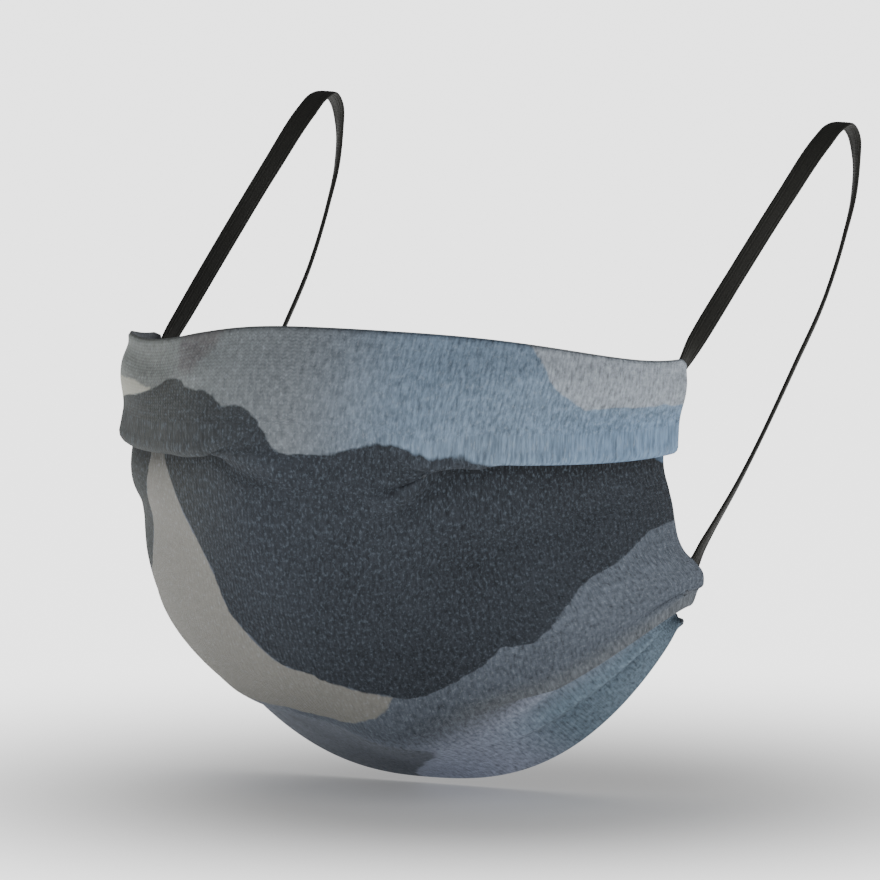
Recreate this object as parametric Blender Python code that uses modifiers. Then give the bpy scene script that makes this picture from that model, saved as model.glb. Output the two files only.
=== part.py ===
"""A pleated cloth face mask with two flat elastic ear loops, in the form that it has when it is worn.

The wearer looks along -Y, and +Z is up. Left and right are as seen from the front, so the right ear loop is
at +X. The origin is where the mask sits: on the bridge of the nose, on the inner face of the cloth.
"""
import math

import bmesh
import bpy
import numpy as np

# The cloth, in metres
HEM_SPACING = 0.137        # from one side hem to the other, across the face
HEM_DEPTH = 0.061          # from the bridge of the nose back to the side hems
HEM_DROP = 0.0102          # the upper corners lie this far below the middle of the upper edge
HEM_HEIGHT = 0.0625        # along a side hem, from its upper corner to the lower edge
CENTRE_HEIGHT = 0.113      # from the upper edge down to the lower edge, in the middle
BRIDGE_BELOW_EDGE = 0.005  # the bridge of the nose meets the cloth this far below the upper edge
CLOTH_WALL = 0.0012
CORNER_WIDTH = 0.0035      # of the rounded upper corners, along the edge
CORNER_HEIGHT = 0.0030     # of the rounded upper corners, down the hem

# The pleats
UPPER_PLEAT_OVERLAP = 0.0065
LOWER_PLEAT_OVERLAP = 0.0032
LAYER_GAP = 0.0006         # between the layers of a pleat
PLEAT_SPREAD = 0.007       # cloth above and below a fold that opens out flat in the middle of the mask
PLEAT_MARGIN = 0.018       # from a fold to the plain cloth above and below it, measured down the middle

# The ear loops
BAND_WIDTH = 0.0045
BAND_THICKNESS = 0.001
LOOP_REACH = 0.0890        # from the upper seam back to the rearmost point
LOOP_RISE = 0.0486         # from the upper seam up to the top
LOOP_SPREAD = 0.0015       # how far outwards of its seams a loop stands
LOOP_TURN = 30.0           # degrees that a band turns about its own line between its seams
SEAM_LENGTH = 0.009        # of band that lies against the inner face of the cloth at each end
UPPER_SEAM_SLANT = 33.0    # degrees that a band runs downwards from the hem in its upper seam
LOWER_SEAM_SLANT = 0.0
SEAM_GAP = 0.0003
UPPER_SEAM_DROP = 0.0045   # from an upper corner down the hem to the middle of the upper seam
LOWER_SEAM_RISE = 0.0118   # from the lower edge up the hem to the middle of the lower seam

# The two finishes: colour, then roughness
CLOTH_FINISH = ((0.11, 0.13, 0.15), 0.9)
ELASTIC_FINISH = ((0.022, 0.022, 0.019), 0.75)

LAYER_PITCH = CLOTH_WALL + LAYER_GAP
HALF_SPACING = HEM_SPACING / 2

# Level lines round the mask, top to bottom. Half width is a share of HALF_SPACING, front and back are shares
# of HEM_DEPTH (in the middle and at the hem), middle is a share of CENTRE_HEIGHT and side one of HEM_HEIGHT,
# both downwards. Roundness 2 is an ellipse seen from above, less is more pointed. Arch bends the line between
# the middle and the hem, and more keeps it level for longer.
LINE_COLUMNS = ("half_width", "front", "back", "middle", "side", "roundness", "arch")
LINES = {
    "upper_edge":  (1.000, 0.00, 1.00, 0.000, 0.00, 2.10, 3.5),
    "nose_tip":    (0.965, -0.11, 0.99, 0.140, 0.17, 2.10, 2.7),
    "upper_fold":  (0.950, -0.15, 0.97, 0.258, 0.35, 2.05, 3.0),
    "mouth":       (0.965, -0.11, 1.00, 0.470, 0.55, 1.90, 2.0),
    "cheek":       (0.965, -0.04, 1.02, 0.610, 0.71, 1.80, 2.0),
    "jaw":         (0.975, 0.10, 1.13, 0.730, 0.82, 1.75, 2.2),
    "lower_fold":  (0.955, 0.42, 1.08, 0.850, 0.93, 1.60, 2.8),
    "lower_edge":  (0.960, 1.10, 1.04, 1.000, 1.00, 1.60, 3.1),
}

# Places where the cloth is pushed in or out, or its edge is pulled down. Across runs from -1 at one hem to 1
# at the other, down from 0 at the upper edge to 1 at the lower one. Both widths are in the same shares. Push
# is a share of HEM_DEPTH along -Y, and drop a share of CENTRE_HEIGHT.
DENT_COLUMNS = ("across", "down", "across_width", "down_width", "push", "drop")
DENTS = {
    "slack_under_left_eye":  (-0.42, 0.00, 0.26, 0.20, 0.00, 0.043),
    "sag_of_left_corner":    (-1.00, 0.00, 0.16, 0.032, 0.00, 0.015),
    "full_left_cheek":       (-0.66, 0.27, 0.24, 0.07, 0.10, 0.000),
    "nose_ridge":            (-0.04, 0.04, 0.24, 0.20, 0.02, -0.006),
    "hollow_beside_mouth":   (0.42, 0.46, 0.16, 0.08, -0.03, 0.000),
    "hollow_beside_chin":    (-0.40, 0.66, 0.16, 0.08, -0.02, 0.000),
    "slack_under_chin":      (0.17, 0.69, 0.16, 0.12, 0.00, 0.040),
    "slack_at_right_fold":   (0.28, 0.22, 0.09, 0.06, 0.00, 0.030),
}

# Course of the cloth through a pleat, from the outer layer round its fold, up behind it and down again. Layer
# is a share of how far the layers overlap at that place, flat one of the pleat's full overlap, and round one
# of the layer pitch, all downwards from the fold. Depth counts layers inwards.
PLEAT_COLUMNS = ("layer", "flat", "round", "depth")
PLEAT = (
    (0.00, -1.00, 0.00, 0.00),
    (0.00, -0.45, 0.00, 0.00),
    (0.00, 0.00, -0.30, 0.08),
    (0.00, 0.00, 0.00, 0.50),
    (0.00, 0.00, -0.30, 0.92),
    (-0.50, 0.00, 0.00, 1.00),
    (-1.00, 0.00, 0.30, 1.08),
    (-1.00, 0.00, 0.00, 1.50),
    (-1.00, 0.00, 0.30, 1.92),
    (-0.45, 0.00, 0.00, 2.00),
    (0.00, 0.25, 0.00, 2.00),
)

# How a pleat opens towards the middle: it is closed at the hem down to the first share of the half width, and
# flat from the second one inwards. One pair for each side, because the cloth doesn't open evenly.
PLEAT_OPENING = {
    "upper_fold": {"left": (0.42, 0.00), "right": (0.56, 0.12)},
    "lower_fold": {"left": (0.80, 0.00), "right": (0.80, 0.24)},
}

# Course of an ear loop, from its upper seam round to its lower one. Back is a share of LOOP_REACH, rise one
# of LOOP_RISE, and fall one of the way from the upper seam to the lower seam. Turn is a share of LOOP_TURN.
LOOP_COLUMNS = ("back", "rise", "fall", "turn")
LOOP_COURSE = (
    (0.100, 0.122, 0.000, 0.80),
    (0.352, 0.423, 0.000, 1.00),
    (0.608, 0.718, 0.000, 1.10),
    (0.815, 0.940, 0.000, 2.00),
    (0.890, 0.998, 0.000, 2.60),
    (0.955, 1.000, 0.000, 3.00),
    (1.000, 0.935, 0.000, 2.30),
    (1.014, 0.815, 0.000, 1.50),
    (1.000, 0.650, 0.000, 1.20),
    (0.945, 0.460, 0.000, 1.00),
    (0.843, 0.202, 0.000, 1.00),
    (0.655, 0.000, 0.110, 1.00),
    (0.309, 0.000, 0.613, 1.00),
    (0.085, 0.000, 0.890, 0.50),
)

# How finely the cloth and the bands are cut
COLUMNS_ACROSS = 41
HEM_CROWDING = 0.45        # 0 spaces the columns evenly, and 1 crowds them most at the hems
PANEL_ROWS = {"upper": 5, "middle": 8, "lower": 5}
BAND_STEPS = 3             # between two points of a loop's course
NUDGE = 0.002              # a small step, as a share of the cloth, that finds a slope


def columns_of(rows, names):
    """A table's columns by their names."""
    return dict(zip(names, np.array(list(rows), dtype=float).T))


LINE_NAMES = list(LINES)
LINE = columns_of(LINES.values(), LINE_COLUMNS)
COURSE = columns_of(LOOP_COURSE, LOOP_COLUMNS)


def unit(vectors):
    """The same directions at length 1."""
    return vectors / np.linalg.norm(vectors, axis=-1, keepdims=True)


def walked(points):
    """How far along a row of points each one lies."""
    return np.concatenate([[0.0], np.cumsum(np.linalg.norm(np.diff(points, axis=0), axis=1))])


def smooth_step(value):
    """0 below 0, 1 above 1, and an even S curve between."""
    share = np.clip(value, 0.0, 1.0)
    return share * share * (3.0 - 2.0 * share)


def through(knots, values, where):
    """A smooth curve through values at knots, read at where: cubic pieces that share their slopes."""
    slopes = np.gradient(values, knots, axis=0)
    piece = np.clip(np.searchsorted(knots, where, side="right") - 1, 0, len(knots) - 2)
    span = knots[piece + 1] - knots[piece]
    t = (where - knots[piece]) / span
    shape = (-1,) + (1,) * (values.ndim - 1)
    t, span = t.reshape(shape), span.reshape(shape)
    start, end = values[piece], values[piece + 1]
    start_slope, end_slope = slopes[piece] * span, slopes[piece + 1] * span
    return ((2 * t**3 - 3 * t**2 + 1) * start + (t**3 - 2 * t**2 + t) * start_slope
            + (3 * t**2 - 2 * t**3) * end + (t**3 - t**2) * end_slope)


def line_points(across):
    """The level lines as an array of lines by places across by x, y, z."""
    line = {name: values[:, None] for name, values in LINE.items()}
    angle = across[None, :] * math.pi / 2
    power = 2.0 / line["roundness"]
    sideways = np.sign(angle) * np.abs(np.sin(angle)) ** power
    backwards = 1.0 - np.maximum(np.cos(angle), 0.0) ** power
    x = line["half_width"] * HALF_SPACING * sideways
    y = (line["front"] + (line["back"] - line["front"]) * backwards) * HEM_DEPTH
    middle = -line["middle"] * CENTRE_HEIGHT
    side = -(HEM_DROP + line["side"] * HEM_HEIGHT)
    z = middle + (side - middle) * np.abs(np.sin(angle)) ** line["arch"] + BRIDGE_BELOW_EDGE
    return np.stack([x, y - CLOTH_WALL / 2, z], axis=-1)


KNOTS = walked(line_points(np.array([0.0]))[:, 0])  # where the level lines lie down the middle
LENGTH = KNOTS[-1]


def knot(name):
    """How far down the middle a named line lies."""
    return KNOTS[LINE_NAMES.index(name)]


def hem_place(drop):
    """The place down the cloth whose end at the hem lies a given length below the upper corner."""
    return np.interp(drop / HEM_HEIGHT, LINE["side"], KNOTS)


def unfolded(across, down):
    """The mid-surface of the cloth with its dents, but without its pleats: down by across by x, y, z."""
    points = through(KNOTS, line_points(across), down)
    for row in DENTS.values():
        dent = dict(zip(DENT_COLUMNS, row))
        sideways = (across - dent["across"]) / dent["across_width"]
        downwards = (down / LENGTH - dent["down"]) / dent["down_width"]
        weight = np.exp(-sideways[None, :] ** 2 - downwards[:, None] ** 2)
        points[..., 1] -= weight * dent["push"] * HEM_DEPTH
        points[..., 2] -= weight * dent["drop"] * CENTRE_HEIGHT
    return points


def directions(across, down):
    """Unit vectors down along the unfolded cloth and out of it, at one place down."""
    step = NUDGE * LENGTH
    near = unfolded(across, np.array([down - step, down + step]))
    downwards = near[1] - near[0]
    left = unfolded(np.maximum(across - NUDGE, -1.0), np.array([down]))[0]
    right = unfolded(np.minimum(across + NUDGE, 1.0), np.array([down]))[0]
    outwards = np.cross(downwards, right - left)
    return unit(downwards), unit(outwards)


def closed_share(name, across):
    """How far a pleat is closed at each place across: 1 is folded, 0 is opened out flat."""
    opening = PLEAT_OPENING[name]
    sides = np.where(across < 0, "left", "right")
    shut = np.array([opening[side][0] for side in sides])
    flat = np.array([opening[side][1] for side in sides])
    return smooth_step((np.abs(across) - flat) / (shut - flat))


def layer_depth(closed):
    """How much of its full depth a pleat has: it keeps it until its layers no longer overlap."""
    return np.clip(closed * 2, 0, 1)


def pleat_rows(name, across, overlap):
    """The cloth through one pleat. From the middle outwards it first gets its depth, and then its overlap.

    Where it hasn't closed yet, its cloth steps down in one even slope.
    """
    closed = closed_share(name, across)[:, None]
    folded = layer_depth(closed)
    least = min(LAYER_PITCH, overlap)
    layers = least + (overlap - least) * np.clip(closed * 2 - 1, 0, 1)
    downwards, outwards = directions(across, knot(name))
    flat_places = knot(name) + np.linspace(-PLEAT_SPREAD, PLEAT_SPREAD, len(PLEAT))
    flat_rows = unfolded(across, flat_places)
    fold_line = unfolded(across, np.array([knot(name)]))[0]
    slope = 1 - 2 * smooth_step(np.linspace(0, 1, len(PLEAT)))
    rows = []
    for flat_row, course, height in zip(flat_rows, PLEAT, slope):
        layer, flat, curve, depth = course
        slide = layer * layers + flat * overlap + curve * LAYER_PITCH
        folded_row = fold_line + slide * downwards + (1 - depth) * LAYER_PITCH * outwards
        open_row = flat_row + height * LAYER_PITCH * folded * outwards
        rows.append(open_row * (1 - folded**2) + folded_row * folded**2)
    return rows


def panel_rows(across, start, end, count, sunk, proud):
    """Rows of cloth between two pleats or edges: sunk at the start and proud at the end."""
    places = np.linspace(start, end, count)
    rows = []
    for place, row in zip(places, unfolded(across, places)):
        share = smooth_step((place - start) / (end - start))
        offset = proud * share - sunk * (1 - share)
        rows.append(row + offset[:, None] * directions(across, place)[1])
    return rows


def places_across():
    """Places across the mask, closer together towards the hems."""
    even = np.linspace(-1, 1, COLUMNS_ACROSS)
    return (1 - HEM_CROWDING) * even + HEM_CROWDING * np.sin(even * math.pi / 2)


def cloth_grid(across):
    """The whole mid-surface with its pleats: rows down by places across by x, y, z."""
    none = np.zeros_like(across)
    upper, lower = knot("upper_fold"), knot("lower_fold")
    step = {name: LAYER_PITCH * layer_depth(closed_share(name, across)) for name in PLEAT_OPENING}
    edge_inset = NUDGE * LENGTH
    rows = panel_rows(across, edge_inset, upper - PLEAT_MARGIN, PANEL_ROWS["upper"], none, step["upper_fold"])
    rows += pleat_rows("upper_fold", across, UPPER_PLEAT_OVERLAP)
    rows += panel_rows(across, upper + PLEAT_MARGIN, lower - PLEAT_MARGIN, PANEL_ROWS["middle"],
                       step["upper_fold"], step["lower_fold"])
    rows += pleat_rows("lower_fold", across, LOWER_PLEAT_OVERLAP)
    rows += panel_rows(across, lower + PLEAT_MARGIN, LENGTH - edge_inset, PANEL_ROWS["lower"],
                       step["lower_fold"], none)
    grid = np.array(rows)
    round_corners(grid)
    return grid


def round_corners(grid):
    """Lowers the upper edge near both hems, so that each upper corner is a quarter of an ellipse."""
    for hem in (0, -1):
        to_hem = np.linalg.norm(grid[0] - grid[0, hem], axis=-1)
        inside = np.clip(1 - to_hem / CORNER_WIDTH, 0, 1)
        grid[0, :, 2] -= CORNER_HEIGHT * (1 - np.sqrt(1 - inside**2))


def grid_mesh(name, grid):
    """An open surface through a grid of points."""
    rows, columns = grid.shape[:2]
    mesh = bpy.data.meshes.new(name)
    surface = bmesh.new()
    corners = [surface.verts.new(point) for point in grid.reshape(-1, 3)]
    for row in range(rows - 1):
        for place in range(columns - 1):
            first = row * columns + place
            surface.faces.new([corners[first], corners[first + columns],
                               corners[first + columns + 1], corners[first + 1]])
    surface.to_mesh(mesh)
    surface.free()
    return mesh


def material(name, colour, roughness):
    """A plain cloth or elastic material."""
    made = bpy.data.materials.new(name)
    made.use_nodes = True
    shader = made.node_tree.nodes["Principled BSDF"]
    shader.inputs["Base Color"].default_value = (*colour, 1.0)
    shader.inputs["Roughness"].default_value = roughness
    shader.inputs["Metallic"].default_value = 0.0
    return made


def shell(name, grid, wall, collection, finish):
    """An object whose open surface gets its wall on both sides."""
    mesh = grid_mesh(name, grid)
    mesh.shade_smooth()
    thing = bpy.data.objects.new(name, mesh)
    thing.data.materials.append(finish)
    solid = thing.modifiers.new("wall", "SOLIDIFY")
    solid.thickness = wall
    solid.offset = 0.0
    collection.objects.link(thing)
    return thing


def seam_points(side, drop, slant):
    """The middle line of a band's end on the inner face, from the hem inwards, and the way out of the cloth.

    Drop is how far down the hem the band leaves the cloth, and slant how many degrees it runs downwards.
    """
    slant = math.radians(slant)
    downs = hem_place(drop + SEAM_LENGTH * np.array([0.0, math.sin(slant)]))
    near_hem = side * np.linspace(1 - NUDGE, 0.5, COLUMNS_ACROSS)
    lengths = walked(unfolded(near_hem, downs[:1])[0])
    across = np.interp([0.0, SEAM_LENGTH * math.cos(slant)], lengths, near_hem)
    outwards = np.array([directions(across, down)[1][end] for end, down in enumerate(downs)])
    inside = CLOTH_WALL / 2 + SEAM_GAP + BAND_THICKNESS / 2
    on_cloth = unfolded(across, downs)[[0, 1], [0, 1]]
    return on_cloth - inside * outwards, outwards


def loop_grid(side):
    """The mid-surface of an ear loop's band: points along it by its two edges by x, y, z."""
    upper, upper_out = seam_points(side, UPPER_SEAM_DROP, UPPER_SEAM_SLANT)
    lower, lower_out = seam_points(side, HEM_HEIGHT - LOWER_SEAM_RISE, LOWER_SEAM_SLANT)
    free = upper[0] + np.outer(COURSE["fall"], lower[0] - upper[0])
    free[:, 0] += side * LOOP_SPREAD * COURSE["back"]
    free[:, 1] += COURSE["back"] * LOOP_REACH
    free[:, 2] += COURSE["rise"] * LOOP_RISE
    sideways = np.tile((side, 0.0, 0.0), (len(free), 1))
    centre = np.concatenate([upper[::-1], free, lower])
    faces = np.concatenate([upper_out[::-1], sideways, lower_out])
    turns = np.concatenate([[0.0, 0.0], COURSE["turn"] * math.radians(LOOP_TURN), [0.0, 0.0]])
    knots = walked(centre)
    steps = [np.linspace(a, b, BAND_STEPS, endpoint=False) for a, b in zip(knots[:-1], knots[1:])]
    where = np.concatenate(steps + [[knots[-1]]])
    line = through(knots, centre, where)
    angle = through(knots, turns, where)[:, None]
    outwards = through(knots, faces, where)
    along = unit(np.gradient(line, where, axis=0))
    outwards = unit(outwards - (outwards * along).sum(1, keepdims=True) * along)
    edgewise = np.cross(outwards, along)
    width = edgewise * np.cos(angle) - outwards * np.sin(angle)
    half = BAND_WIDTH / 2
    return np.stack([line - half * width, line + half * width], axis=1)


def build():
    """Makes the mask and its two loops."""
    for thing in list(bpy.data.objects):
        bpy.data.objects.remove(thing)
    parts = bpy.data.collections.new("cloth_face_mask")
    bpy.context.scene.collection.children.link(parts)
    cloth = material("mask_cloth", *CLOTH_FINISH)
    elastic = material("black_elastic", *ELASTIC_FINISH)
    shell("mask_cloth", cloth_grid(places_across()), CLOTH_WALL, parts, cloth)
    shell("ear_loop_left", loop_grid(-1), BAND_THICKNESS, parts, elastic)
    shell("ear_loop_right", loop_grid(1), BAND_THICKNESS, parts, elastic)


build()
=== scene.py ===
"""Looks of a pleated cloth face mask: a knit cloth printed with a grey camouflage, and two flat ear elastics.

Everything is in metres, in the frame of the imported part: the wearer looks along -Y, and +Z is up. Left and
right are as seen from the front.
"""
import math

import bpy
import numpy as np
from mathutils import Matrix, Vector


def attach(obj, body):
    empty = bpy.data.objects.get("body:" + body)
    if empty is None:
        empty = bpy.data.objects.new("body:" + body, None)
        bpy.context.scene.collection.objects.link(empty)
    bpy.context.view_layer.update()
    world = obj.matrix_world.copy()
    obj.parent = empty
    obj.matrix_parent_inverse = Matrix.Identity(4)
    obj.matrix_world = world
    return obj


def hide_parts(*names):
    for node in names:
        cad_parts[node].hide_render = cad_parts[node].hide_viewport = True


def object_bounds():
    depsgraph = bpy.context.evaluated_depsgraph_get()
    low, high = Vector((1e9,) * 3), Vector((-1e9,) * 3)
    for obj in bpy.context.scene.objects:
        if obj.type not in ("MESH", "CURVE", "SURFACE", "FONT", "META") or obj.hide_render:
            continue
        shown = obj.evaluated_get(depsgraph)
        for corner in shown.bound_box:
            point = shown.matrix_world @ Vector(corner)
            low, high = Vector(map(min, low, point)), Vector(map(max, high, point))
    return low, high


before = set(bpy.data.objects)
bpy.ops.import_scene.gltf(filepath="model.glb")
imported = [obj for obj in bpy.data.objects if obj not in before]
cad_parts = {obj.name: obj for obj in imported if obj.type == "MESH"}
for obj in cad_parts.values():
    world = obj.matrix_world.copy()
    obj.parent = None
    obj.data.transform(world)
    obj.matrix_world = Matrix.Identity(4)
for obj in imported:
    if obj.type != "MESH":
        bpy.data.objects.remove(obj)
cad_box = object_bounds()

# The cloth, in metres
HEM_SPACING = 0.137        # from one side hem to the other, across the face
HEM_DEPTH = 0.061          # from the bridge of the nose back to the side hems
HEM_DROP = 0.0102          # the upper corners lie this far below the middle of the upper edge
HEM_HEIGHT = 0.0625        # along a side hem, from its upper corner to the lower edge
CENTRE_HEIGHT = 0.113      # from the upper edge down to the lower edge, in the middle
BRIDGE_BELOW_EDGE = 0.005  # the bridge of the nose meets the cloth this far below the upper edge
CLOTH_WALL = 0.0012
CORNER_WIDTH = 0.0035      # of the rounded upper corners, along the edge
CORNER_HEIGHT = 0.0030     # of the rounded upper corners, down the hem

# The pleats
UPPER_PLEAT_OVERLAP = 0.0065
LOWER_PLEAT_OVERLAP = 0.0032
LAYER_GAP = 0.0006         # between the layers of a pleat
PLEAT_SPREAD = 0.007       # cloth above and below a fold that opens out flat in the middle of the mask
PLEAT_MARGIN = 0.018       # from a fold to the plain cloth above and below it, measured down the middle

# The ear loops
BAND_WIDTH = 0.0045
BAND_THICKNESS = 0.001
LOOP_REACH = 0.0890        # from the upper seam back to the rearmost point
LOOP_RISE = 0.0486         # from the upper seam up to the top
LOOP_SPREAD = 0.0015       # how far outwards of its seams the back of a loop stands
LOOP_TURN = 30.0           # degrees that a band turns about its own line between its seams
SEAM_LENGTH = 0.009        # of band that lies against the inner face of the cloth at each end
UPPER_SEAM_SLANT = 33.0    # degrees that a band runs downwards from the hem in its upper seam
LOWER_SEAM_SLANT = 0.0
SEAM_GAP = 0.0003
UPPER_SEAM_DROP = 0.0045   # from an upper corner down the hem to the middle of the upper seam
LOWER_SEAM_RISE = 0.0118   # from the lower edge up the hem to the middle of the lower seam

# How finely the cloth and the bands are cut
COLUMNS_ACROSS = 210
HEM_CROWDING = 0.45        # 0 spaces the columns evenly, and 1 crowds them most at the hems
PANEL_ROWS = {"upper": 5, "middle": 8, "lower": 5}
ROW_STEP = 0.00105         # greatest distance between two rows of the fine cloth
BAND_STEP = 0.0006         # between two sections of a band
NUDGE = 0.002              # a small step, as a share of the cloth, that finds a slope

BAND_SIDES = 96            # points round a band
OUTLINE_STEPS = 3          # points for each one in the outline of a printed patch

# The knit, its folds and the elastic's weave
RIB_PITCH = 0.00105
STITCH_PITCH = 0.00085
FOLD_FADE = 0.3            # share of a fold's length over which each of its ends fades out
PLEAT_EDGE = 3             # the row of a pleat's course that is its fold
CREASE_RISE = 0.0015       # from the fold to the full painted shade behind it
CREASE_REACH = 0.0032      # how far the painted shade reaches down the cloth under a fold
BAND_RIBS = 7
BAND_RIB_HEIGHT = 0.00006
BAND_EDGE_POWER = 3.5      # of the superellipse that a band's section is: 2 is an ellipse, more is squarer
WEAVE_PITCH = 0.0007

LAYER_PITCH = CLOTH_WALL + LAYER_GAP
HALF_SPACING = HEM_SPACING / 2
MILLIMETRES = 1000         # in a metre

# Level lines round the mask, top to bottom. Half width is a share of HALF_SPACING, front and back are shares
# of HEM_DEPTH (in the middle and at the hem), middle is a share of CENTRE_HEIGHT and side one of HEM_HEIGHT,
# both downwards. Roundness 2 is an ellipse seen from above, less is more pointed. Arch bends the line between
# the middle and the hem, and more keeps it level for longer.
LINE_COLUMNS = ("half_width", "front", "back", "middle", "side", "roundness", "arch")
LINES = {
    "upper_edge":  (1.000, 0.00, 1.00, 0.000, 0.00, 2.10, 3.5),
    "nose_tip":    (0.965, -0.11, 0.99, 0.140, 0.17, 2.10, 2.7),
    "upper_fold":  (0.950, -0.15, 0.97, 0.258, 0.35, 2.05, 3.0),
    "mouth":       (0.965, -0.11, 1.00, 0.470, 0.55, 1.90, 2.0),
    "cheek":       (0.965, -0.04, 1.02, 0.610, 0.71, 1.80, 2.0),
    "jaw":         (0.975, 0.10, 1.13, 0.730, 0.82, 1.75, 2.2),
    "lower_fold":  (0.955, 0.42, 1.08, 0.850, 0.93, 1.60, 2.8),
    "lower_edge":  (0.960, 1.10, 1.04, 1.000, 1.00, 1.60, 3.1),
}

# Places where the cloth is pushed in or out, or its edge is pulled down. Across runs from -1 at one hem to 1
# at the other, down from 0 at the upper edge to 1 at the lower one. Both widths are in the same shares. Push
# is a share of HEM_DEPTH along -Y, and drop a share of CENTRE_HEIGHT.
DENT_COLUMNS = ("across", "down", "across_width", "down_width", "push", "drop")
DENTS = {
    "slack_under_left_eye":  (-0.42, 0.00, 0.26, 0.20, 0.00, 0.043),
    "sag_of_left_corner":    (-1.00, 0.00, 0.16, 0.032, 0.00, 0.015),
    "full_left_cheek":       (-0.66, 0.27, 0.24, 0.07, 0.10, 0.000),
    "nose_ridge":            (-0.04, 0.04, 0.24, 0.20, 0.02, -0.006),
    "hollow_beside_mouth":   (0.42, 0.46, 0.16, 0.08, -0.03, 0.000),
    "hollow_beside_chin":    (-0.40, 0.66, 0.16, 0.08, -0.02, 0.000),
    "slack_under_chin":      (0.17, 0.69, 0.16, 0.12, 0.00, 0.040),
    "slack_at_right_fold":   (0.28, 0.22, 0.09, 0.06, 0.00, 0.030),
}

# Course of the cloth through a pleat, from the outer layer round its fold, up behind it and down again. The
# first number is a share of how far the layers overlap at that place, the second one of the pleat's full
# overlap, and the third one of the layer pitch, all downwards from the fold. The last counts layers inwards.
PLEAT = (
    (0.00, -1.00, 0.00, 0.00),
    (0.00, -0.45, 0.00, 0.00),
    (0.00, 0.00, -0.30, 0.08),
    (0.00, 0.00, 0.00, 0.50),
    (0.00, 0.00, -0.30, 0.92),
    (-0.50, 0.00, 0.00, 1.00),
    (-1.00, 0.00, 0.30, 1.08),
    (-1.00, 0.00, 0.00, 1.50),
    (-1.00, 0.00, 0.30, 1.92),
    (-0.45, 0.00, 0.00, 2.00),
    (0.00, 0.25, 0.00, 2.00),
)

# How a pleat opens towards the middle: it is closed at the hem down to the first share of the half width, and
# flat from the second one inwards. One pair for each side, because the cloth doesn't open evenly.
PLEAT_OPENING = {
    "upper_fold": {"left": (0.42, 0.00), "right": (0.56, 0.12)},
    "lower_fold": {"left": (0.80, 0.00), "right": (0.80, 0.24)},
}

# Course of an ear loop, from its upper seam round to its lower one. Back is a share of LOOP_REACH, rise one
# of LOOP_RISE, and fall one of the way from the upper seam to the lower seam. Turn is a share of LOOP_TURN.
LOOP_COLUMNS = ("back", "rise", "fall", "turn")
LOOP_COURSE = (
    (0.100, 0.122, 0.000, 0.80),
    (0.352, 0.423, 0.000, 1.00),
    (0.608, 0.718, 0.000, 1.10),
    (0.815, 0.940, 0.000, 2.00),
    (0.890, 0.998, 0.000, 2.60),
    (0.955, 1.000, 0.000, 3.00),
    (1.000, 0.935, 0.000, 2.30),
    (1.014, 0.815, 0.000, 1.50),
    (1.000, 0.650, 0.000, 1.20),
    (0.945, 0.460, 0.000, 1.00),
    (0.843, 0.202, 0.000, 1.00),
    (0.655, 0.000, 0.110, 1.00),
    (0.309, 0.000, 0.613, 1.00),
    (0.085, 0.000, 0.890, 0.50),
)


def columns_of(rows, names):
    """A table's columns by their names."""
    return dict(zip(names, np.array(list(rows), dtype=float).T))


LINE_NAMES = list(LINES)
LINE = columns_of(LINES.values(), LINE_COLUMNS)
COURSE = columns_of(LOOP_COURSE, LOOP_COLUMNS)


def unit(vectors):
    """The same directions at length 1."""
    return vectors / np.linalg.norm(vectors, axis=-1, keepdims=True)


def running_sum(steps):
    """The sums of the first steps: 0, the first one, the first two and so on."""
    return np.concatenate([[0.0], np.cumsum(steps)])


def walked(points):
    """How far along a row of points each one lies."""
    return running_sum(np.linalg.norm(np.diff(points, axis=0), axis=1))


def smooth_step(value):
    """0 below 0, 1 above 1, and an even S curve between."""
    share = np.clip(value, 0.0, 1.0)
    return share * share * (3.0 - 2.0 * share)


def cubic(t, start, end, start_slope, end_slope):
    """The cubic curve from start at t = 0 to end at t = 1 that has the given slopes there."""
    return ((2 * t**3 - 3 * t**2 + 1) * start + (t**3 - 2 * t**2 + t) * start_slope
            + (3 * t**2 - 2 * t**3) * end + (t**3 - t**2) * end_slope)


def through(knots, values, where):
    """A smooth curve through values at knots, read at where: cubic pieces that share their slopes."""
    slopes = np.gradient(values, knots, axis=0)
    piece = np.clip(np.searchsorted(knots, where, side="right") - 1, 0, len(knots) - 2)
    span = knots[piece + 1] - knots[piece]
    t = (where - knots[piece]) / span
    shape = (-1,) + (1,) * (values.ndim - 1)
    t, span = t.reshape(shape), span.reshape(shape)
    return cubic(t, values[piece], values[piece + 1], slopes[piece] * span, slopes[piece + 1] * span)


def line_points(across):
    """The level lines as an array of lines by places across by x, y, z.

    Seen from above each is a superellipse. Its height goes from the middle to the hem by a power of the sine.
    """
    line = {name: values[:, None] for name, values in LINE.items()}
    angle = across[None, :] * math.pi / 2
    power = 2.0 / line["roundness"]
    sideways = np.sign(angle) * np.abs(np.sin(angle)) ** power
    backwards = 1.0 - np.maximum(np.cos(angle), 0.0) ** power
    x = line["half_width"] * HALF_SPACING * sideways
    y = (line["front"] + (line["back"] - line["front"]) * backwards) * HEM_DEPTH
    middle = -line["middle"] * CENTRE_HEIGHT
    side = -(HEM_DROP + line["side"] * HEM_HEIGHT)
    z = middle + (side - middle) * np.abs(np.sin(angle)) ** line["arch"] + BRIDGE_BELOW_EDGE
    return np.stack([x, y - CLOTH_WALL / 2, z], axis=-1)


KNOTS = walked(line_points(np.array([0.0]))[:, 0])  # where the level lines lie down the middle
LENGTH = KNOTS[-1]


def knot(name):
    """How far down the middle a named line lies."""
    return KNOTS[LINE_NAMES.index(name)]


def hem_place(drop):
    """The place down the cloth whose end at the hem lies a given length below the upper corner."""
    return np.interp(drop / HEM_HEIGHT, LINE["side"], KNOTS)


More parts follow.
